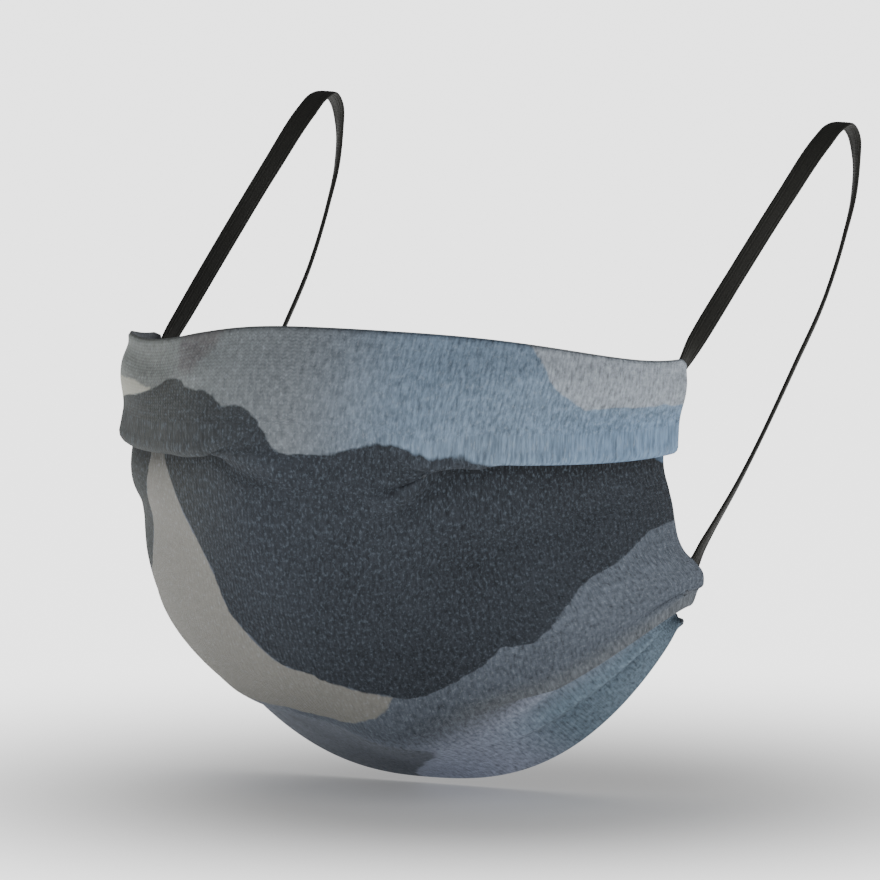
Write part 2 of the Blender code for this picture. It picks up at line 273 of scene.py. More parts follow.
def unfolded(across, down):
    """The mid-surface of the cloth without its pleats, as places down by places across by x, y, z.

    It is a smooth curve down through the level lines, and each dent adds a bell in both directions.
    """
    points = through(KNOTS, line_points(across), down)
    for row in DENTS.values():
        dent = dict(zip(DENT_COLUMNS, row))
        sideways = (across - dent["across"]) / dent["across_width"]
        downwards = (down / LENGTH - dent["down"]) / dent["down_width"]
        weight = np.exp(-sideways[None, :] ** 2 - downwards[:, None] ** 2)
        points[..., 1] -= weight * dent["push"] * HEM_DEPTH
        points[..., 2] -= weight * dent["drop"] * CENTRE_HEIGHT
    return points


def directions(across, down):
    """Unit vectors down along the unfolded cloth and out of it, at one place down, from small steps."""
    step = NUDGE * LENGTH
    near = unfolded(across, np.array([down - step, down + step]))
    downwards = near[1] - near[0]
    left = unfolded(np.maximum(across - NUDGE, -1.0), np.array([down]))[0]
    right = unfolded(np.minimum(across + NUDGE, 1.0), np.array([down]))[0]
    outwards = np.cross(downwards, right - left)
    return unit(downwards), unit(outwards)


def closed_share(name, across):
    """How far a pleat is closed at each place across: 1 is folded, 0 is opened out flat."""
    opening = PLEAT_OPENING[name]
    sides = np.where(across < 0, "left", "right")
    shut = np.array([opening[side][0] for side in sides])
    flat = np.array([opening[side][1] for side in sides])
    return smooth_step((np.abs(across) - flat) / (shut - flat))


def layer_depth(closed):
    """How much of its full depth a pleat has: it keeps it until its layers no longer overlap."""
    return np.clip(closed * 2, 0, 1)


def pleat_rows(name, across, overlap):
    """The cloth through one pleat. From the middle outwards it first gets its depth, and then its overlap.

    Where it hasn't closed yet, its cloth steps down in one even slope.
    """
    closed = closed_share(name, across)[:, None]
    folded = layer_depth(closed)
    least = min(LAYER_PITCH, overlap)
    layers = least + (overlap - least) * np.clip(closed * 2 - 1, 0, 1)
    downwards, outwards = directions(across, knot(name))
    flat_places = knot(name) + np.linspace(-PLEAT_SPREAD, PLEAT_SPREAD, len(PLEAT))
    flat_rows = unfolded(across, flat_places)
    fold_line = unfolded(across, np.array([knot(name)]))[0]
    slope = 1 - 2 * smooth_step(np.linspace(0, 1, len(PLEAT)))
    rows = []
    for flat_row, (layer, flat, curve, depth), height in zip(flat_rows, PLEAT, slope):
        slide = layer * layers + flat * overlap + curve * LAYER_PITCH
        folded_row = fold_line + slide * downwards + (1 - depth) * LAYER_PITCH * outwards
        open_row = flat_row + height * LAYER_PITCH * folded * outwards
        rows.append(open_row * (1 - folded**2) + folded_row * folded**2)
    return rows


def panel_rows(across, start, end, count, sunk, proud):
    """Rows of cloth between two pleats or edges: sunk at the start and proud at the end, by an S curve."""
    places = np.linspace(start, end, count)
    rows = []
    for place, row in zip(places, unfolded(across, places)):
        share = smooth_step((place - start) / (end - start))
        offset = proud * share - sunk * (1 - share)
        rows.append(row + offset[:, None] * directions(across, place)[1])
    return rows


def places_across():
    """Places across the mask, closer together towards the hems: part evenly spaced, and part as a sine is."""
    even = np.linspace(-1, 1, COLUMNS_ACROSS)
    return (1 - HEM_CROWDING) * even + HEM_CROWDING * np.sin(even * math.pi / 2)


def panel_spans():
    """Where each panel of plain cloth starts and ends down the middle, and how many rows it has."""
    upper, lower, inset = knot("upper_fold"), knot("lower_fold"), NUDGE * LENGTH
    return ((inset, upper - PLEAT_MARGIN, PANEL_ROWS["upper"]),
            (upper + PLEAT_MARGIN, lower - PLEAT_MARGIN, PANEL_ROWS["middle"]),
            (lower + PLEAT_MARGIN, LENGTH - inset, PANEL_ROWS["lower"]))


def cloth_grid(across):
    """The whole mid-surface with its pleats: rows down by places across by x, y, z."""
    none = np.zeros_like(across)
    step = {name: LAYER_PITCH * layer_depth(closed_share(name, across)) for name in PLEAT_OPENING}
    top, middle, bottom = panel_spans()
    rows = panel_rows(across, *top, none, step["upper_fold"])
    rows += pleat_rows("upper_fold", across, UPPER_PLEAT_OVERLAP)
    rows += panel_rows(across, *middle, step["upper_fold"], step["lower_fold"])
    rows += pleat_rows("lower_fold", across, LOWER_PLEAT_OVERLAP)
    rows += panel_rows(across, *bottom, step["lower_fold"], none)
    grid = np.array(rows)
    round_corners(grid)
    return grid


def round_corners(grid):
    """Lowers the upper edge near both hems, so that each upper corner is a quarter of an ellipse."""
    for hem in (0, -1):
        to_hem = np.linalg.norm(grid[0] - grid[0, hem], axis=-1)
        inside = np.clip(1 - to_hem / CORNER_WIDTH, 0, 1)
        grid[0, :, 2] -= CORNER_HEIGHT * (1 - np.sqrt(1 - inside**2))


def seam_points(side, drop, slant):
    """The middle line of a band's end on the inner face, from the hem inwards, and the way out of the cloth.

    Drop is how far down the hem the band leaves the cloth, and slant how many degrees it runs downwards.
    """
    slant = math.radians(slant)
    downs = hem_place(drop + SEAM_LENGTH * np.array([0.0, math.sin(slant)]))
    near_hem = side * np.linspace(1 - NUDGE, 0.5, COLUMNS_ACROSS)
    lengths = walked(unfolded(near_hem, downs[:1])[0])
    across = np.interp([0.0, SEAM_LENGTH * math.cos(slant)], lengths, near_hem)
    outwards = np.array([directions(across, down)[1][end] for end, down in enumerate(downs)])
    inside = CLOTH_WALL / 2 + SEAM_GAP + BAND_THICKNESS / 2
    on_cloth = unfolded(across, downs)[[0, 1], [0, 1]]
    return on_cloth - inside * outwards, outwards


# Slack and drag folds of the worn cloth. Each runs from one place to another, both given across and down as
# shares. It is a round ridge, or a hollow where its height is negative. Width and height are in millimetres.
FOLD_COLUMNS = ("across_a", "down_a", "across_b", "down_b", "width", "height")
FOLDS = (
    (0.95, 0.640, 0.45, 0.690, 3.0, 0.7),
    (0.85, 0.765, 0.40, 0.770, 2.6, 0.9),
    (0.90, 0.800, 0.42, 0.800, 2.0, -0.6),
    (0.80, 0.850, 0.38, 0.842, 2.4, 1.0),
    (0.75, 0.890, 0.36, 0.880, 2.4, -0.6),
    (0.46, 0.180, 0.22, 0.262, 2.6, 1.3),
    (0.50, 0.215, 0.26, 0.285, 2.8, -0.8),
    (-0.30, 0.185, 0.00, 0.215, 2.6, 0.8),
    (-0.34, 0.215, -0.02, 0.240, 2.8, -0.6),
    (-0.80, 0.020, -0.30, 0.060, 4.0, -0.5),
    (-0.30, 0.010, -0.24, 0.090, 4.0, 0.5),
    (0.85, 0.030, 0.45, 0.060, 5.0, 0.4),
    (0.14, 0.020, 0.17, 0.150, 3.0, 0.5),
    (0.80, 0.300, 0.35, 0.400, 6.0, -0.6),
    (0.92, 0.470, 0.45, 0.560, 4.5, 0.7),
    (-0.85, 0.600, -0.35, 0.640, 3.0, 0.7),
    (-0.10, 0.300, 0.05, 0.500, 9.0, 0.6),
)

# The printed patches, each a closed outline of places across and down. The shade patch and the underside
# patch are painted shade, not print.
PATCHES = {
    "charcoal": (
        (-1.05, .150), (-.80, .145), (-.57, .115), (-.46, .100), (-.37, .088), (-.335, .078), (-.295, .075),
        (-.27, .081), (-.255, .092), (-.235, .100), (-.195, .101), (-.18, .106), (-.155, .117),
        (-.145, .122), (-.125, .119), (-.105, .121), (-.075, .131), (-.058, .142), (-.055, .150),
        (-.045, .160), (-.035, .172), (-.025, .183), (-.005, .191), (.03, .195), (.075, .193), (.12, .188),
        (.165, .180), (.19, .172), (.235, .163), (.27, .159), (.30, .161), (.36, .163), (.42, .167),
        (.48, .173), (.55, .185), (.70, .200), (.86, .205), (.93, .225), (.96, .245), (1.05, .275),
        (1.05, .375), (.88, .400), (.81, .427), (.745, .450), (.66, .472), (.63, .485), (.605, .500),
        (.56, .530), (.52, .550), (.495, .560), (.47, .556), (.445, .550), (.42, .562), (.40, .575),
        (.375, .585), (.315, .600), (.27, .602), (.215, .595), (.178, .583), (.105, .567), (.01, .545),
        (-.085, .535), (-.16, .497), (-.222, .455), (-.25, .405), (-.30, .350), (-.365, .275),
        (-.395, .235), (-.42, .208), (-.455, .208), (-.47, .24), (-.50, .30), (-.53, .38), (-.62, .50),
        (-.75, .58), (-1.05, .65)),
    "crescent": (
        (-.455, .208), (-.42, .208), (-.395, .235), (-.365, .275), (-.30, .350), (-.25, .405),
        (-.222, .455), (-.16, .497), (-.085, .535), (.01, .545), (.105, .567), (.178, .583), (.20, .590),
        (.155, .620), (.07, .645), (-.025, .660), (-.12, .662), (-.21, .660), (-.30, .700), (-.50, .700),
        (-1.05, .740), (-1.05, .650), (-.75, .580), (-.62, .500), (-.53, .380), (-.50, .300), (-.47, .240)),
    "beige": (
        (-1.05, .090), (-.75, .085), (-.58, .080), (-.49, .081), (-.43, .086), (-.395, .091), (-.44, .100),
        (-.52, .110), (-.60, .120), (-.80, .147), (-1.05, .150)),
    "lilac": (
        (.495, -.03), (.525, .015), (.545, .031), (.565, .052), (.59, .073), (.61, .084), (.64, .095),
        (.665, .105), (.695, .108), (.76, .104), (.83, .107), (.87, .105), (.91, .101), (1.05, .100),
        (1.05, -.03)),
    # painted shade: a soft darker patch near the upper edge, left of the middle
    "painted_shade": (
        (-.30, -.03), (-.165, -.03), (-.20, .03), (-.225, .055), (-.25, .075), (-.28, .07), (-.31, .04)),
    # painted shade: a darker patch over the lower left, where the cloth faces down
    "shaded_underside": (
        (-1.05, .740), (-.50, .700), (-.22, .660), (-.16, .678), (-.08, .688), (.02, .700), (.10, .708),
        (.17, .725), (.21, .770), (.17, .830), (.10, .885), (.03, .930), (-.05, .970), (-.12, 1.05),
        (-1.05, 1.05)),
}


def finer_knots(grid):
    """Where the coarse rows lie down the cloth (mean distance), and where the fine rows go between them."""
    chords = np.linalg.norm(np.diff(grid, axis=0), axis=2)
    knots = running_sum(chords.mean(axis=1))
    counts = np.ceil(chords.max(axis=1) / ROW_STEP).astype(int)
    steps = [np.linspace(a, b, n, endpoint=False) for a, b, n in zip(knots[:-1], knots[1:], counts)]
    return knots, np.concatenate(steps + [[knots[-1]]])


def pattern_places():
    """The place down the cloth of each coarse row, as a share, with the pleats' cloth spread out flat."""
    upper, lower = knot("upper_fold"), knot("lower_fold")
    spread = np.linspace(-PLEAT_SPREAD, PLEAT_SPREAD, len(PLEAT))
    top, middle, bottom = (np.linspace(*span) for span in panel_spans())
    return np.concatenate([top, upper + spread, middle, lower + spread, bottom]) / LENGTH


def grid_normals(grid):
    """Unit normals of a grid: the cross product of its slopes down and across."""
    return unit(np.cross(np.gradient(grid, axis=0), np.gradient(grid, axis=1)))


def fold_heights(across, down, half_length):
    """Sum of the folds: each a bell across its line, fading to nothing at both of its ends."""
    height = np.zeros((len(down), len(across)))
    flat_x = across[None, :] * half_length
    flat_y = down[:, None] * LENGTH
    for row in FOLDS:
        fold = dict(zip(FOLD_COLUMNS, row))
        ax, ay = fold["across_a"] * half_length, fold["down_a"] * LENGTH
        bx, by = fold["across_b"] * half_length, fold["down_b"] * LENGTH
        length = math.hypot(bx - ax, by - ay)
        along = ((flat_x - ax) * (bx - ax) + (flat_y - ay) * (by - ay)) / length**2
        aside = ((flat_x - ax) * (by - ay) - (flat_y - ay) * (bx - ax)) / length
        ends = smooth_step(along / FOLD_FADE + 0.5) * smooth_step((1.0 - along) / FOLD_FADE + 0.5)
        bell = np.exp(-(aside / (fold["width"] / MILLIMETRES)) ** 2)
        height += fold["height"] / MILLIMETRES * bell * ends
    return height


def crease_shade(across, where, knots):
    """Painted shade for the pleats: how deep in a pleat each point lies, 1 behind its fold, and fading on the
    cloth below it.
    """
    lower_start = PANEL_ROWS["upper"] + len(PLEAT) + PANEL_ROWS["middle"]
    painted_shade = np.zeros((len(where), len(across)))
    for name, start in {"upper_fold": PANEL_ROWS["upper"], "lower_fold": lower_start}.items():
        edge, under = knots[start + PLEAT_EDGE], knots[start + len(PLEAT) - 1]
        behind = smooth_step((where - edge) / CREASE_RISE)
        below = np.exp(-np.maximum(where - under, 0.0) / CREASE_REACH)
        painted_shade = np.maximum(painted_shade, (behind * below)[:, None] * closed_share(name, across)[None, :])
    return painted_shade


def outline_points(outline):
    """A closed outline rounded off: cubic pieces through its points that share their slopes."""
    points = np.array(outline)
    before, after = np.roll(points, 1, axis=0), np.roll(points, -1, axis=0)
    slopes = ((after - before) / 2)[:, None]
    t = (np.arange(OUTLINE_STEPS) / OUTLINE_STEPS)[None, :, None]
    return cubic(t, points[:, None], after[:, None], slopes, np.roll(slopes, -1, axis=0)).reshape(-1, 2)


def inside_distance(outline, x, y, scale):
    """Distance to a closed outline, positive inside it, by the nearest point of each of its edges."""
    points = outline_points(outline) * scale
    ends = np.roll(points, -1, axis=0)
    nearest = np.full(x.shape, np.inf)
    within = np.zeros(x.shape, dtype=bool)
    for (ax, ay), (bx, by) in zip(points, ends):
        dx, dy = bx - ax, by - ay
        t = np.clip(((x - ax) * dx + (y - ay) * dy) / (dx * dx + dy * dy), 0, 1)
        nearest = np.minimum(nearest, (x - ax - t * dx) ** 2 + (y - ay - t * dy) ** 2)
        crosses = (ay > y) != (by > y)
        slope = dx / dy if dy else 0.0
        within ^= crosses & (x < ax + (y - ay) * slope)
    return np.where(within, 1.0, -1.0) * np.sqrt(nearest)


def add_thing(name, data, place=(0.0, 0.0, 0.0), turn=(0.0, 0.0, 0.0)):
    """A new object in the scene, for a mesh, a lamp or the camera."""
    thing = bpy.data.objects.new(name, data)
    thing.location, thing.rotation_euler = place, turn
    bpy.context.scene.collection.objects.link(thing)
    return thing


def add_piece(name, points, faces, finish):
    """A smooth mesh object of points and faces, with its finish."""
    mesh = bpy.data.meshes.new(name)
    mesh.from_pydata(points, [], faces)
    mesh.shade_smooth()
    mesh.materials.append(finish)
    return add_thing(name, mesh)


def add_values(thing, name, values):
    """A named number at each point of a mesh."""
    numbers = np.array(values, dtype=np.float32).ravel()
    thing.data.attributes.new(name, "FLOAT", "POINT").data.foreach_set("value", numbers)


def add_uv(thing, name, places):
    """A UV map from one place in metres for each point."""
    layer = thing.data.uv_layers.new(name=name)
    corners = np.empty(len(thing.data.loops), dtype=np.int32)
    thing.data.loops.foreach_get("vertex_index", corners)
    layer.uv.foreach_set("vector", places[corners].astype(np.float32).ravel())


def quads_of(number):
    """The quads between the points of a grid, from the number of each point."""
    corners = [number[:-1, :-1], number[1:, :-1], number[1:, 1:], number[:-1, 1:]]
    return np.stack(corners, axis=-1).reshape(-1, 4)


class Socket:
    """An output socket whose arithmetic adds Math nodes to its material."""

    def __init__(self, finish, socket):
        self.finish, self.socket = finish, socket

    def math(self, operation, *values):
        return self.finish.node("ShaderNodeMath", {"operation": operation}, dict(enumerate(values)))

    def __add__(self, other):
        return self.math("ADD", self, other)

    def __sub__(self, other):
        return self.math("SUBTRACT", self, other)

    def __rsub__(self, other):
        return self.math("SUBTRACT", other, self)

    def __mul__(self, other):
        return self.math("MULTIPLY", self, other)

    def __truediv__(self, other):
        return self.math("DIVIDE", self, other)

    __radd__ = __add__
    __rmul__ = __mul__


class Finish:
    """A material in the making: its nodes are added one by one and joined by their sockets."""

    def __init__(self, name):
        self.material = bpy.data.materials.new(name)
        self.material.use_nodes = True
        self.tree = self.material.node_tree
        self.shader = self.tree.nodes["Principled BSDF"]

    def node(self, kind, settings=None, sockets=None, output=0):
        """A node of one kind: its settings first, then the values or links of its sockets."""
        made = self.tree.nodes.new(kind)
        for name, value in (settings or {}).items():
            setattr(made, name, value)
        self.fill(made, sockets or {})
        return Socket(self, made.outputs[output])

    def fill(self, made, sockets):
        for name, value in sockets.items():
            if isinstance(value, Socket):
                self.tree.links.new(value.socket, made.inputs[name])
            else:
                made.inputs[name].default_value = value

    def mix(self, share, first, second):
        """Colour between two others."""
        return self.node("ShaderNodeMix", {"data_type": "RGBA"}, {0: share, 6: first, 7: second}, 2)

    def tint(self, colour, strength):
        """A colour made lighter or darker by a number."""
        return self.node("ShaderNodeVectorMath", {"operation": "SCALE"}, {0: colour, "Scale": strength})

    def value(self, name):
        """A number that the mesh holds at each point."""
        return self.node("ShaderNodeAttribute", {"attribute_name": name}, {}, 2)

    def step(self, number, low, high, least=0.0):
        """Least below low, 1 above high, and a smooth rise between."""
        return self.node("ShaderNodeMapRange", {"interpolation_type": "SMOOTHSTEP"},
                         {"Value": number, "From Min": low, "From Max": high, "To Min": least})

    def noise(self, place, name):
        """One of the named noises. Its cells are 1 / scale across, and longer down the cloth or the band."""
        scale, squeeze, detail, roughness = NOISES[name]
        squeezed = self.node("ShaderNodeVectorMath", {"operation": "MULTIPLY"},
                             {0: place, 1: (1.0, squeeze, 1.0)})
        return self.node("ShaderNodeTexNoise", {}, {"Vector": squeezed, "Scale": scale, "Detail": detail,
                                                    "Roughness": roughness})

    def place(self, name):
        """The UV place in metres, and its two numbers."""
        both = self.node("ShaderNodeUVMap", {"uv_map": name})
        first = self.node("ShaderNodeSeparateXYZ", {}, {0: both})
        return both, first, Socket(self, first.socket.node.outputs[1])

    def textile(self, colour, height, depth, roughness):
        """Joins the colour and the bump to the shader, and returns the finished material."""
        bump = self.node("ShaderNodeBump", {}, {"Height": height, "Distance": depth, "Strength": 1.0})
        self.fill(self.shader, {"Base Color": colour, "Normal": bump, "Roughness": roughness, "Metallic": 0.0,
                                "Specular IOR Level": TEXTILE_GLOSS})
        return self.material


def grey(red, green, blue):
    """A linear colour from the 0 to 255 values that it has on a screen, by the curve that screens use."""
    return tuple((value / 255 / 12.92) if value <= 10 else ((value / 255 + 0.055) / 1.055) ** 2.4
                 for value in (red, green, blue)) + (1.0,)


# Colours of the print, as they look on a screen in even light, and of the painted light and shade noted below
PRINT = {
    "grey_left": grey(112, 116, 114),
    "grey_middle": grey(103, 109, 115),
    "blue_right": grey(105, 122, 140),
    # partly the print's blue, and partly a painted highlight where the right of the top panel meets the upper
    # fold
    "blue_low_lit": grey(105, 128, 153),
    # painted shade, near the upper edge
    "painted_shade": grey(98, 98, 99),
    "lilac": grey(136, 143, 151),
    "beige": grey(156, 156, 146),
    "charcoal_left": grey(63, 65, 64),
    "charcoal": grey(45, 49, 55),
    "crescent": grey(123, 122, 117),
    "slate": grey(86, 93, 103),
    "slate_warm": grey(97, 101, 105),
    # lavender and teal are lighter than the print: painted fill light on the cloth that faces down
    "lavender": grey(158, 165, 183),
    "teal": grey(112, 129, 143),
    # painted shade on the cloth that faces down
    "shaded_underside": grey(106, 111, 120),
    "inside": grey(92, 96, 102),
}


# The ground under the printed patches. Each colour lies over the ones before it, and comes in smoothly over
# its rises: across the cloth from its middle, and down it from its upper edge, in metres.
UPPER_GROUND = (
    ("grey_middle", (-0.045, 0.012), None),
    ("blue_right", (-0.002, 0.030), None),
    # lighter blue above the right of the upper fold: partly print, partly painted highlight
    ("blue_low_lit", (0.040, 0.090), (0.012, 0.028)),
)
LOWER_GROUND = (
    ("slate_warm", (0.015, 0.045), (0.098, 0.108)),
    # lavender and teal lightened as painted fill light on the cloth that faces down
    ("lavender", None, (0.104, 0.128)),
    ("teal", (0.026, 0.050), (0.116, 0.130)),
)
GROUND_CHANGE = (0.042, 0.046)        # down the cloth, under the charcoal, from the upper to the lower ground
CHARCOAL_CHANGE = (-0.030, 0.020)     # from the warm charcoal to the blue one, across and half as much down

# Noises: cells to the metre, how much they are squeezed together lengthwise, detail and roughness
NOISES = {
    "ragged": (380.0, 1.0, 3.0, 0.5),
    "wander": (90.0, 1.0, 2.0, 0.5),
    "streaks": (1300.0, 0.26, 2.0, 0.6),
    "mottle": (800.0, 0.7, 2.0, 0.6),
    "cloudy": (60.0, 1.0, 3.0, 0.5),
    "flecks": (1500.0, 0.6, 3.0, 0.75),
    "light_flecks": (1500.0, 0.5, 3.0, 0.75),
    "fibres": (3000.0, 0.3, 2.0, 0.6),
}
EDGE_RAGGED = 0.0016                  # metres that the noises move a patch's edge
EDGE_WANDER = 0.0022
EDGE_SOFT = 0.00035                   # half the width over which a patch's edge fades
SOFTER_EDGES = {"painted_shade": 0.0015, "shaded_underside": 0.0008}

# How much the heather changes the lightness of the print, and how strong the painted shade and highlights of
# the folds are
STREAKS_LEFT = 0.35
STREAKS_MORE_RIGHT = 1.3
RIGHT_SIDE = (-0.020, 0.030)          # across, from where the streaks grow to where they are strongest
CLOUDY = 0.5
SMOOTHER_LIGHT_PATCHES = 0.7
# painted shade behind and under the pleats' folds, as a share of the colour taken away
CREASE_PAINTED_SHADE = 0.6
FOLD_PAINTED_LIGHT = 0.16                 # painted highlight on a fold's ridge, and painted shade in a hollow, for each millimetre of its height
FLECKS_ON_DARK = ((0.48, 0.70), 0.26, grey(118, 132, 146))   # noise they begin and are full at, share, colour
FLECKS_ON_LIGHT = ((0.50, 0.72), 0.22, grey(176, 186, 196))
FLECKS_ON_UNDERSIDE = 0.6             # of those on the charcoal
PRINT_THROUGH = 0.12                  # share of the print that shows on the inner face
FACE_CHANGE = 0.2                     # the attribute runs from -1 inside to 1 outside, and is 0 on the edge

RIB_ROUND = 0.8                       # heights, as shares of the finish's depth
STITCH_BUMP = 0.18
KNIT_BUMP = 0.8
MOTTLE_BUMP = 0.6
KNIT_DEPTH = 0.00018
KNIT_ROUGHNESS = 0.92
WEAVE_BUMP = 0.25
WEAVE_DEPTH = 0.00008
ELASTIC_ROUGHNESS = 0.72
ELASTIC_DARK = grey(16, 16, 14)
ELASTIC_LIGHT = grey(42, 42, 38)
TEXTILE_GLOSS = 0.25


def knit_height(across, down):
    """Height of the knit: round ribs side by side, each crossed by V-shaped stitches."""
    rib = across / RIB_PITCH
    middle = rib.math("FRACT", rib) - 0.5
    centre = middle.math("ABSOLUTE", middle) * 2.0
    phase = (down / STITCH_PITCH + centre * 0.5) * (2 * math.pi)
    return (1.0 - centre * centre) * RIB_ROUND + phase.math("SINE", phase) * STITCH_BUMP


def ground_colour(make, across, down, first, layers):
    """The first colour with the layers of a ground laid over it."""
    colour = PRINT[first]
    for name, across_rise, down_rise in layers:
        share = 1.0
        for number, rise in ((across, across_rise), (down, down_rise)):
            share = make.step(number, *rise) * share if rise else share
        colour = make.mix(share, colour, PRINT[name])
    return colour


def cloth_finish():
    """Heathered knit with its printed patches, painted shade in its creases and on two patches, and painted
    highlights and shade on its folds.
    """
    make = Finish("camouflage_knit")
    both, across, down = make.place("cloth")
    edge = (make.noise(both, "ragged") - 0.5) * EDGE_RAGGED + (make.noise(both, "wander") - 0.5) * EDGE_WANDER
    patch = {}
    for name in PATCHES:
        soft = SOFTER_EDGES.get(name, EDGE_SOFT)
        patch[name] = make.step(make.value(name) + edge, -soft, soft)

    upper = ground_colour(make, across, down, "grey_left", UPPER_GROUND)
    # painted shade near the upper edge, then the lilac print
    for name in ("painted_shade", "lilac"):
        upper = make.mix(patch[name], upper, PRINT[name])
    lower = ground_colour(make, across, down, "slate", LOWER_GROUND)
    ground = make.mix(make.step(down, *GROUND_CHANGE), upper, lower)
    # beige and crescent print, then painted shade over the lower left
    for name in ("beige", "crescent", "shaded_underside"):
        ground = make.mix(patch[name], ground, PRINT[name])
    bluer = make.step(across + down * 0.5, *CHARCOAL_CHANGE)
    ink = make.mix(bluer, PRINT["charcoal_left"], PRINT["charcoal"])
    ground = make.mix(patch["charcoal"], ground, ink)

    streaks, mottle, cloudy = (make.noise(both, name) - 0.5 for name in ("streaks", "mottle", "cloudy"))
    streaked = make.step(across, *RIGHT_SIDE) * STREAKS_MORE_RIGHT + STREAKS_LEFT
    heather = streaks * streaked + mottle + cloudy * CLOUDY
    smooth = edge.math("MAXIMUM", patch["crescent"], patch["beige"])
    strength = 1.0 + heather * (1.0 - smooth * SMOOTHER_LIGHT_PATCHES)
    # painted shade in the pleats' creases
    strength = strength * (1.0 - make.value("painted_crease_shade") * CREASE_PAINTED_SHADE)
    # painted highlights on the folds' ridges and painted shade in their hollows
    strength = strength * (1.0 + make.value("painted_fold_light") * FOLD_PAINTED_LIGHT)

    dark = edge.math("MAXIMUM", patch["charcoal"], patch["shaded_underside"] * FLECKS_ON_UNDERSIDE)
    colour = make.tint(ground, strength)
    for name, where, (rise, share, tone) in (("flecks", dark, FLECKS_ON_DARK),
                                             ("light_flecks", 1.0 - patch["charcoal"], FLECKS_ON_LIGHT)):
        colour = make.mix(make.step(make.noise(both, name), *rise) * where * share, colour, tone)
    inside = make.tint(make.mix(PRINT_THROUGH, PRINT["inside"], ground), strength)
    colour = make.mix(make.step(make.value("outer"), -FACE_CHANGE, FACE_CHANGE), inside, colour)
    height = knit_height(across, down) * KNIT_BUMP + mottle * MOTTLE_BUMP
    return make.textile(colour, height, KNIT_DEPTH, KNIT_ROUGHNESS)


def elastic_finish():
    """Black elastic: fine weave across it, with soft fibres along it."""
    make = Finish("ribbed_elastic")
    both, _, along = make.place("band")
    phase = along * (2 * math.pi / WEAVE_PITCH)
    fibres = make.noise(both, "fibres")
    height = phase.math("SINE", phase) * WEAVE_BUMP + fibres
    return make.textile(make.mix(fibres, ELASTIC_DARK, ELASTIC_LIGHT), height, WEAVE_DEPTH, ELASTIC_ROUGHNESS)


def cloth_wall(middle, where):
    """Points and quads of both faces of the wall, and which points of the grid lie on its edge.

    Each face lies half a wall from the middle surface, along its normals. Near an edge that distance shrinks
    as a quarter circle does, to nothing on the edge itself, where both faces share their points.
    """
    normals = grid_normals(middle)
    rows, columns = middle.shape[:2]
    along_row = middle[rows // 2]
    from_side = np.minimum(walked(along_row), walked(along_row[::-1])[::-1])[None, :]
    from_end = np.minimum(where, where[-1] - where)[:, None]
    half = CLOTH_WALL / 2
    rim = np.clip(np.minimum(from_side, from_end) / half, 0, 1)
    thick = (half * np.sqrt(np.maximum(1 - (1 - rim) ** 2, 0)))[..., None] * normals
    points = np.concatenate([(middle + thick).reshape(-1, 3), (middle - thick).reshape(-1, 3)])
    edge = np.zeros((rows, columns), dtype=bool)
    edge[[0, -1]] = True
    edge[:, [0, -1]] = True
    number = np.arange(rows * columns).reshape(rows, columns)
    inner_number = np.where(edge, number, number + rows * columns)
    return points, np.concatenate([quads_of(number), quads_of(inner_number)[:, ::-1]]), edge


def cloth_piece():
    """The whole cloth: the coarse grid read finely, with its folds added, and both faces of its wall."""
    across = places_across()
    coarse = cloth_grid(across)
    knots, where = finer_knots(coarse)
    middle = through(knots, coarse, where)
    down = np.interp(where, knots, pattern_places())
    flat_across = running_sum(np.linalg.norm(np.diff(middle, axis=1), axis=2).mean(axis=0))
    flat_across -= flat_across[-1] / 2
    half_length = flat_across[-1]
    heights = fold_heights(across, down, half_length)
    middle += heights[..., None] * grid_normals(middle)
    points, faces, edge = cloth_wall(middle, where)
    thing = add_piece("printed_cloth", points, faces, cloth_finish())

    flat = np.stack(np.broadcast_arrays(flat_across[None, :], down[:, None] * LENGTH), axis=-1)
    add_uv(thing, "cloth", np.tile(flat.reshape(-1, 2), (2, 1)))
    scale = np.array([half_length, LENGTH])
    chart_x, chart_y = np.broadcast_arrays(across[None, :] * half_length, down[:, None] * LENGTH)
    # painted shade behind and under the pleats' folds
    painted_shade = crease_shade(across, where, knots)
    # painted highlights and shade from the folds' heights
    painted_fold_light = heights * MILLIMETRES
    outer = np.where(edge, 0.0, 1.0)
    values = {"outer": (outer, -outer), "painted_crease_shade": (painted_shade, painted_shade), "painted_fold_light": (painted_fold_light, -painted_fold_light)}
    for name, outline in PATCHES.items():
        values[name] = (inside_distance(outline, chart_x, chart_y, scale),) * 2
    for name, on_both_faces in values.items():
        add_values(thing, name, on_both_faces)
    return thing


